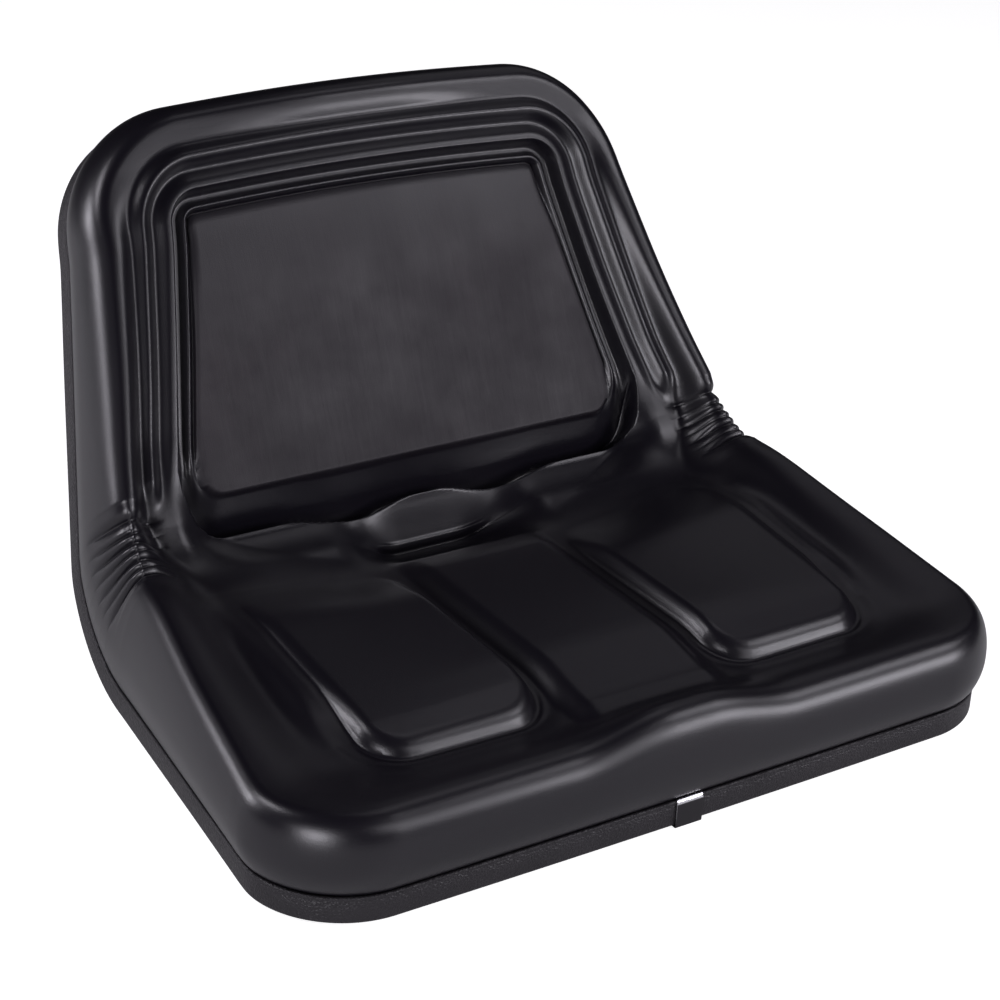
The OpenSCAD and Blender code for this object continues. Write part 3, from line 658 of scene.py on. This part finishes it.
class Finish:
    """One material, with a Principled shader at its end."""

    def __init__(self, name, **fixed):
        self.material = bpy.data.materials.new(name)
        self.material.use_nodes = True
        self.nodes = self.material.node_tree.nodes
        self.links = self.material.node_tree.links
        self.shader = self.nodes["Principled BSDF"]
        for socket, value in fixed.items():
            self.shader.inputs[socket.replace("_", " ")].default_value = value

    def node(self, kind, settings=None, sockets=None, out=0):
        """Adds a node: its settings first, then values or links of its sockets."""
        made = self.nodes.new(kind)
        for key, value in (settings or {}).items():
            setattr(made, key, value)
        for key, value in (sockets or {}).items():
            if isinstance(value, Value):
                self.links.new(value.socket, made.inputs[key])
            else:
                made.inputs[key].default_value = value
        return Value(self, made.outputs[out])

    def place(self, scale):
        """Object coordinates, scaled along each axis."""
        at = self.node("ShaderNodeTexCoord", out="Object")
        return self.node("ShaderNodeMapping", {}, {"Vector": at, "Scale": scale})

    def noise(self, scale, detail=3, rough=0.5, stretch=(1, 1, 1)):
        """Cloudy noise from 0 to 1, with about scale patches a metre. A stretch below 1 draws
        the patches out along that axis."""
        return self.node("ShaderNodeTexNoise", {}, {
            "Vector": self.place(stretch), "Scale": scale, "Detail": detail,
            "Roughness": rough}, "Fac")

    def cells(self, scale, feature="F1"):
        """Distance to the middle or the edge of a cell, with about scale cells a metre."""
        return self.node("ShaderNodeTexVoronoi", {"feature": feature}, {
            "Vector": self.place((1, 1, 1)), "Scale": scale}, "Distance")

    def read(self, name):
        """A number that is stored on the mesh."""
        return self.node("ShaderNodeAttribute", {"attribute_name": name}, out="Fac")

    def blend(self, share, low, high):
        """A colour between two, by share."""
        sockets = {"Factor": share, 6: (*low, 1), 7: (*high, 1)}
        return self.node("ShaderNodeMix", {"data_type": "RGBA"}, sockets, 2)

    def use(self, socket, value):
        """Links a value to a socket of the shader."""
        self.links.new(value.socket, self.shader.inputs[socket])

    def emboss(self, height, distance):
        """Raises the surface by height times distance, in metres."""
        bump = self.node("ShaderNodeBump", {}, {
            "Height": height, "Distance": distance, "Strength": 1.0}, "Normal")
        self.use("Normal", bump)

    def on(self, piece):
        """Gives the piece this material alone."""
        piece.data.materials.clear()
        piece.data.materials.append(self.material)


# %% [markdown]
# ## The skin
# Black vinyl is nearly black under its gloss: what shows is the soft studio light in its
# surface. A fine moulded grain spreads that light. The panel in the backrest has a coarser
# grain with faint upright lines, clouds of more and less gloss, and a few rub marks. Its
# colour is also painted paler, a painted sheen, which fades toward its top as painted shade.

# %% The skin's finish
def skin_finish():
    """Black vinyl. Clouds change its tone and gloss a little everywhere, and on the panel
    blots, upright lines and rub marks, each times the panel's share, change them more. The
    panel's share also paints its colour paler, a painted sheen."""
    skin = Finish("black_vinyl_skin", Specular_IOR_Level=0.5, IOR=1.5)
    panel = skin.read("panel")
    clouds = skin.noise(9, 4, 0.55)
    grain = skin.cells(1500)
    fine = skin.noise(2600, 2)
    upright = skin.noise(420, 3, 0.6, (1, 0.06, 0.06))
    rubs = skin.noise(14, 5, 0.65, (1, 0.6, 0.6))
    blots = skin.noise(24, 4, 0.6)

    worn = (rubs - 0.52).at_least(0) * 3.2 * panel
    # panel * 0.5 paints the panel paler as a painted sheen; worn is real rub marks, clouds real
    # tone
    dark, pale = (0.0042, 0.0038, 0.0066), (0.0175, 0.0135, 0.0175)
    share = (clouds * 0.25 + panel * 0.5 + worn).at_most(1)
    skin.use("Base Color", skin.blend(share, dark, pale))
    rough = 0.28 + clouds * 0.05 + panel * 0.12 + blots * panel * 0.36 + upright * panel * 0.1
    skin.use("Roughness", rough)
    skin.emboss(grain * 0.5 + fine * 0.5 + upright * panel * 1.6, 0.00006)
    return skin


skin = skin_finish()
skin.on(cushion)
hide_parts("seat_cushion")
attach(cushion, "root")

# %% [markdown]
# ## The trim
# The trim is an extrusion: one section carried round the rim. It has a small bead along its
# upper edge, a leather grain on its face, and soft corners below. Its ends lie over each
# other for a few millimetres, under the clip's left half and just beside it. The real trim
# has a narrow gap there.

# %% The trim's section
LEG_IN = FLANGE_IN + SHEET_T + GAP
TRIM_R, TRIM_INNER_R, BEAD_R = 2.2, 0.8, 0.98


def arc(cx, cy, r, a0, a1, count=5):
    """Points on an arc round (cx, cy), from angle a0 to a1 in degrees."""
    a = np.radians(np.linspace(a0, a1, count))
    return np.stack([cx + r * np.cos(a), cy + r * np.sin(a)], -1)


# the lower corner, the face, the bead, the channel for the flange, and the inner leg
trim_section = np.vstack([
    arc(TRIM_R, TRIM_R - TRIM_H, TRIM_R, 270, 180, 7),
    [[0.0, -8.0], [0.0, -2.4], [0.12, -2.2]],
    arc(0.75, -1.0, BEAD_R, 205, 60, 8),
    [[TRIM_T, -0.1], [TRIM_T, TRIM_T - TRIM_H]],
    [[LEG_IN, TRIM_T - TRIM_H], [LEG_IN, TRIM_LEG - TRIM_H]],
    arc(LEG_IN + TRIM_T / 2, TRIM_LEG - TRIM_H, TRIM_T / 2, 150, 0, 5),
    arc(LEG_IN + TRIM_T - TRIM_INNER_R, TRIM_INNER_R - TRIM_H, TRIM_INNER_R, 0, -90, 4)])
print("the trim's section has", len(trim_section), "corners")

# %% The trim round the rim
TRIM_START = -CLIP_W / 2 - 0.5
TRIM_END = TRIM_START - JOINT_GAP


def trim_line(e, h):
    """A corner of the section carried along the rim at inset e and height h: from TRIM_START
    to the middle, once round the loop of the border, and back to TRIM_END."""
    x, s = ring(e)
    x = np.concatenate([[TRIM_START], x, [TRIM_END]])
    s = np.concatenate([[bow_at(TRIM_START) + e], s, [bow_at(TRIM_END) + e]])
    return place(x, s, h)


strip = np.stack([trim_line(e, h) for e, h in trim_section], 1)
trim = make_piece("trim_strip", strip.reshape(-1, 3), bar_faces(*strip.shape[:2]))
print("trim:", len(trim.data.polygons), "faces")


# %% The trim's finish
def trim_finish():
    """A soft black extrusion, with a leather grain of cells, patches and fine noise."""
    rubber = Finish("black_trim", Specular_IOR_Level=0.28)
    hide = rubber.cells(520, "DISTANCE_TO_EDGE")
    patches = rubber.noise(300, 3, 0.6)
    fine = rubber.noise(1900, 2)
    tone = rubber.noise(30, 3)
    rubber.use("Base Color", rubber.blend(tone, (0.014, 0.013, 0.015), (0.026, 0.024, 0.027)))
    rubber.use("Roughness", 0.34 + patches * 0.16)
    rubber.emboss((hide * 2.2).at_most(1) + patches * 0.8 + fine * 0.3, 0.0003)
    return rubber


trim_finish().on(trim)
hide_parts("edge_trim")
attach(trim, "root")

# %% [markdown]
# ## The clip
# A strip of sheet metal is bent round the trim where its ends meet. Its face is dark, and
# its upper edge leans back under the cushion and shines, because the coating is worn there.

# %% The clip
CLIP_R, CLIP_LEG_TOP = 1.2, -7.2


def clip_points():
    """The clip's section, a wall of CLIP_T round the trim, carried across its width. Next to
    the two ends it is drawn in a little, so that their edges are soft."""
    out, low = -GAP - CLIP_T, -TRIM_H - GAP - CLIP_T
    back = LEG_IN + TRIM_T + GAP
    inner_r = CLIP_R - CLIP_T
    section = np.vstack([
        [[0.35, 0.95], [-0.55, -0.5], [-0.98, -1.7], [-1.1, -2.4]],
        arc(out + CLIP_R, low + CLIP_R, CLIP_R, 180, 270, 6),
        arc(back + CLIP_T - CLIP_R, low + CLIP_R, CLIP_R, 270, 360, 6),
        [[back + CLIP_T, CLIP_LEG_TOP], [back, CLIP_LEG_TOP]],
        arc(back - inner_r, low + CLIP_R, inner_r, 360, 270, 4),
        arc(out + CLIP_R, low + CLIP_R, inner_r, 270, 180, 4),
        [[-0.2, -1.9], [0.15, -0.7], [0.75, 0.45]]])
    away = section - section.mean(0)
    away = away / np.linalg.norm(away, axis=1)[:, None]
    half = CLIP_W / 2
    stations = [(-half, 0.12), (0.1 - half, 0.02), (0.3 - half, 0),
                (half - 0.3, 0), (half - 0.1, 0.02), (half, 0.12)]
    lines = []
    for x, drawn_in in stations:
        line = section - away * drawn_in
        lines.append(place(x, line[:, 0], line[:, 1]))
    return np.array(lines)


clip_lines = clip_points()
clip = make_piece("joint_clip", clip_lines.reshape(-1, 3), bar_faces(*clip_lines.shape[:2]))
bare = np.zeros(clip_lines.shape[:2])
bare[:, [0, 1, -1, -2]] = 1
bare[:, 2] = 0.5
attribute(clip, "bare", bare)
print("clip:", len(clip.data.polygons), "faces, bare at", int(bare.sum()), "points")


# %% The clip's finish
def clip_finish():
    """Dark coated metal that is bright where the coating is worn off its bare edge."""
    metal = Finish("dark_clip_with_bare_edge", Specular_IOR_Level=0.2)
    bare = metal.read("bare")
    wear = (bare * 1.6 + metal.noise(900, 3) * 0.5 - 0.35).at_least(0).at_most(1)
    metal.use("Base Color", metal.blend(wear, (0.020, 0.019, 0.021), (0.78, 0.78, 0.80)))
    metal.use("Metallic", wear)
    metal.use("Roughness", 0.46 - wear * 0.24)
    metal.emboss(metal.noise(700, 2, 0.5, (0.1, 1, 1)), 0.00004)
    return metal


clip_finish().on(clip)
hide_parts("trim_clip")
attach(clip, "root")

# %% [markdown]
# ## The pan
# The pan keeps the solid's own shape, with its true holes and ribs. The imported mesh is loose
# triangles, so a copy of it is merged, and shaded smooth except at its folded edges.

# %% The pan
def smooth_copy(node, name, sharp):
    """A merged copy of a node's mesh, smooth except where faces turn by more than sharp."""
    work = bmesh.new()
    work.from_mesh(nodes[node].data)
    bmesh.ops.remove_doubles(work, verts=work.verts, dist=1e-6)
    for edge in work.edges:
        turned = edge.calc_face_angle(0)
        edge.smooth = len(edge.link_faces) == 2 and turned < math.radians(sharp)
    for face in work.faces:
        face.smooth = True
    mesh = bpy.data.meshes.new(name)
    work.to_mesh(mesh)
    work.free()
    piece = bpy.data.objects.new(name, mesh)
    bpy.context.scene.collection.objects.link(piece)
    return piece


pan = smooth_copy("seat_pan", "pressed_pan", 32)
print("pan:", len(pan.data.polygons), "faces")


# %% The pan's paint
def paint_finish():
    """Semi-matt black paint, with a faint orange peel and dust in clouds."""
    paint = Finish("black_paint_on_steel", Specular_IOR_Level=0.5)
    peel = paint.noise(520, 2)
    dust = paint.noise(16, 5, 0.6)
    paint.use("Base Color", paint.blend(dust, (0.012, 0.012, 0.013), (0.030, 0.029, 0.030)))
    paint.use("Roughness", 0.34 + dust * 0.2)
    paint.emboss(peel, 0.00005)
    return paint


paint_finish().on(pan)
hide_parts("seat_pan")
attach(pan, "root")

# %% [markdown]
# ## The weld nuts
# A nut is a radius over angle and height: a hexagon, cut by a cone at its lower corners.
# The bore is the same with a thread, a small wave that climbs one pitch for each turn.

# %% One nut
THREAD_PITCH, THREAD_D = 1.25, 0.42
NUT_ANGLES = np.linspace(0, 2 * math.pi, 97)[:-1]


def nut_points(cx, cy, low, high):
    """Rings of radius r(angle, height). Outside, r is the hexagon's distance or the chamfer's
    cone, whichever is less. Inside, r is the bore's radius and THREAD_D times the thread's
    wave, |2 (z / pitch + angle / 2 pi mod 1) - 1|, and the bore flares at its lower end."""
    a = NUT_ANGLES
    flat = NUT_AF / 2 / np.cos((a + math.pi / 6) % (math.pi / 3) - math.pi / 6)
    lines = []
    for z in (low, low + 0.25, low + 0.6, low + 1.1, low + 1.8, high):
        cone = NUT_AF / 2 - 0.35 + (z - low) * 1.75
        lines.append((np.minimum(flat, cone), z))
    for z in np.arange(high, low - 0.01, -THREAD_PITCH / 8):
        wave = np.abs(((z / THREAD_PITCH + a / (2 * math.pi)) % 1) * 2 - 1)
        flare = 0.7 * ease(low + 0.9, low, z)
        lines.append((NUT_BORE / 2 + THREAD_D * wave + flare, z))
    lines.append((NUT_BORE / 2 + 0.9, low))
    return np.array([np.stack([cx + r * np.cos(a), cy + r * np.sin(a), z + 0 * a], -1)
                     for r, z in lines])


# %% The nuts' finish
def zinc_finish():
    """Zinc plating, a metal whose tone and gloss vary together."""
    zinc = Finish("zinc_plate", Metallic=1.0)
    tone = zinc.noise(120, 4, 0.6)
    zinc.use("Base Color", zinc.blend(tone, (0.42, 0.40, 0.36), (0.62, 0.61, 0.56)))
    zinc.use("Roughness", 0.28 + tone * 0.22)
    zinc.emboss(zinc.noise(900, 2), 0.00003)
    return zinc


# %% The four nuts
zinc = zinc_finish()
for name in ("nut_front_left", "nut_front_right", "nut_rear_left", "nut_rear_right"):
    low, high = (np.array(v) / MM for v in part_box(name))
    middle = (low + high) / 2
    lines = nut_points(middle[0], middle[1], low[2], high[2])
    sides = np.arange(len(NUT_ANGLES))
    closing = joined((len(lines) - 1) * len(sides) + sides, sides)
    faces = [*grid_faces(*lines.shape[:2], True), *closing]
    nut = make_piece("weld_" + name, lines.reshape(-1, 3) * MM, faces, False)
    zinc.on(nut)
    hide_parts(name)
    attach(nut, "root")
print("four nuts of", len(lines), "rings")

# %% [markdown]
# ## Camera
# The camera stands in front of the seat on its left, above it, and is turned a little about
# its own axis. These angles were fitted to the rim and the silhouettes in the photograph.

# %% Camera
AIM = Vector((-0.0027, -0.0220, 0.1112))
DISTANCE, AZIMUTH, ELEVATION, ROLL = 1.3911, -34.053, 25.447, 2.86
LENS, SENSOR = 87.906, 36


def direction(azimuth, elevation):
    """From the seat toward these angles in degrees. Azimuth 0 is in front, 90 on the right."""
    a, e = math.radians(azimuth), math.radians(elevation)
    return Vector((math.sin(a) * math.cos(e), -math.cos(a) * math.cos(e), math.sin(e)))


def camera_turn(azimuth, elevation, roll):
    """Columns are the camera's right, up and backward directions, rolled about the last."""
    a, r = math.radians(azimuth), math.radians(roll)
    back = direction(azimuth, elevation)
    right = Vector((math.cos(a), math.sin(a), 0))
    up = back.cross(right)
    across = right * math.cos(r) + up * math.sin(r)
    return Matrix((across, up * math.cos(r) - right * math.sin(r), back)).transposed()


turn = camera_turn(AZIMUTH, ELEVATION, ROLL)
camera = bpy.data.objects.new("camera", bpy.data.cameras.new("camera"))
camera.data.lens, camera.data.sensor_width = LENS, SENSOR
camera.matrix_world = Matrix.Translation(AIM + turn.col[2] * DISTANCE) @ turn.to_4x4()
bpy.context.scene.collection.objects.link(camera)
bpy.context.scene.camera = camera
print("the camera stands at", [round(v, 3) for v in camera.matrix_world.translation])

# %% [markdown]
# ## Studio
# A pale floor, and large soft lamps. The black skin shows little but their mirror images, so
# each lamp is placed where the skin has to catch it. Three stand on the left and three in
# front and on the right, and two weak ones stand behind on the right. Floor and world are
# white to the camera only. A mirror and all other light see them nearly dark, because a white
# room would turn the black skin grey.

# %% Floor and world
FLOOR_HALF, FLOOR_GLOW, FLOOR_MIRRORED = 6.0, 0.83, 0.09
WORLD_SEEN, WORLD_GLOSSY, WORLD_LIT = 1.0, 0.0055, 0.0065


def seen_share(finish, glossy):
    """1 to the camera, glossy to a mirror or through glass, and 0 to all other light."""
    camera_ray, mirror_ray, through_ray = (
        finish.node("ShaderNodeLightPath", out=name)
        for name in ("Is Camera Ray", "Is Glossy Ray", "Is Transmission Ray"))
    return (camera_ray + (mirror_ray + through_ray) * glossy).at_most(1)


corner = np.array([(-1, -1, 0), (1, -1, 0), (1, 1, 0), (-1, 1, 0)]) * FLOOR_HALF
floor = make_piece("studio_floor", corner, [[0, 1, 2, 3]])
pale = Finish("pale_floor", Roughness=0.9, Specular_IOR_Level=0.1, Emission_Strength=1.0)
pale.use("Base Color", pale.blend(pale.noise(2, 2), (0.80, 0.80, 0.80), (0.84, 0.84, 0.84)))
seen = seen_share(pale, FLOOR_MIRRORED)
pale.use("Emission Color", pale.blend(seen, (0, 0, 0), (FLOOR_GLOW,) * 3))
pale.on(floor)


def studio_world():
    """The camera sees white, and a mirror and all other light see a nearly dark grey."""
    world = bpy.data.worlds.new("studio")
    world.use_nodes = True
    tree = world.node_tree
    shade = tree.nodes["Background"]
    shade.inputs["Color"].default_value = (1, 1, 1, 1)
    rays = tree.nodes.new("ShaderNodeLightPath")
    mirrored, seen = (tree.nodes.new("ShaderNodeMix") for _ in range(2))
    mirrored.inputs["A"].default_value = WORLD_LIT
    mirrored.inputs["B"].default_value = WORLD_GLOSSY
    seen.inputs["B"].default_value = WORLD_SEEN
    tree.links.new(rays.outputs["Is Glossy Ray"], mirrored.inputs["Factor"])
    tree.links.new(mirrored.outputs["Result"], seen.inputs["A"])
    tree.links.new(rays.outputs["Is Camera Ray"], seen.inputs["Factor"])
    tree.links.new(seen.outputs["Result"], shade.inputs["Strength"])
    bpy.context.scene.world = world


studio_world()


# %% Lamps
LAMP_AWAY, LAMP_TINT = 2.0, (1, 0.97, 1.05)
LAMP_AIM = Vector((0, 0, 0.15))


def softbox(name, azimuth, elevation, size, power):
    """A rectangular lamp that looks at the seat from these angles in degrees."""
    data = bpy.data.lights.new(name, "AREA")
    data.shape, data.size, data.size_y = "RECTANGLE", *size
    data.energy, data.color = power, LAMP_TINT
    lamp = bpy.data.objects.new(name, data)
    back = direction(azimuth, elevation)
    facing = back.to_track_quat("Z", "Y").to_matrix().to_4x4()
    lamp.matrix_world = Matrix.Translation(LAMP_AIM + LAMP_AWAY * back) @ facing
    bpy.context.scene.collection.objects.link(lamp)


softbox("front_right_box", 38, 12, (0.8, 0.5), 14)
softbox("front_box", 15, 26, (0.9, 0.6), 4)
softbox("key_box", 54, 40, (0.7, 0.6), 7)
softbox("left_box", -123, 15, (0.4, 0.6), 12)
softbox("left_front_box", -52, 8, (0.7, 0.6), 16)
softbox("left_high_box", -112, 42, (0.5, 0.4), 8)
softbox("back_right_box", 125, 40, (1.2, 0.8), 0.8)
softbox("high_right_box", 105, 66, (0.6, 0.6), 1.2)

# %% Look
bpy.context.scene.view_settings.view_transform = "Standard"
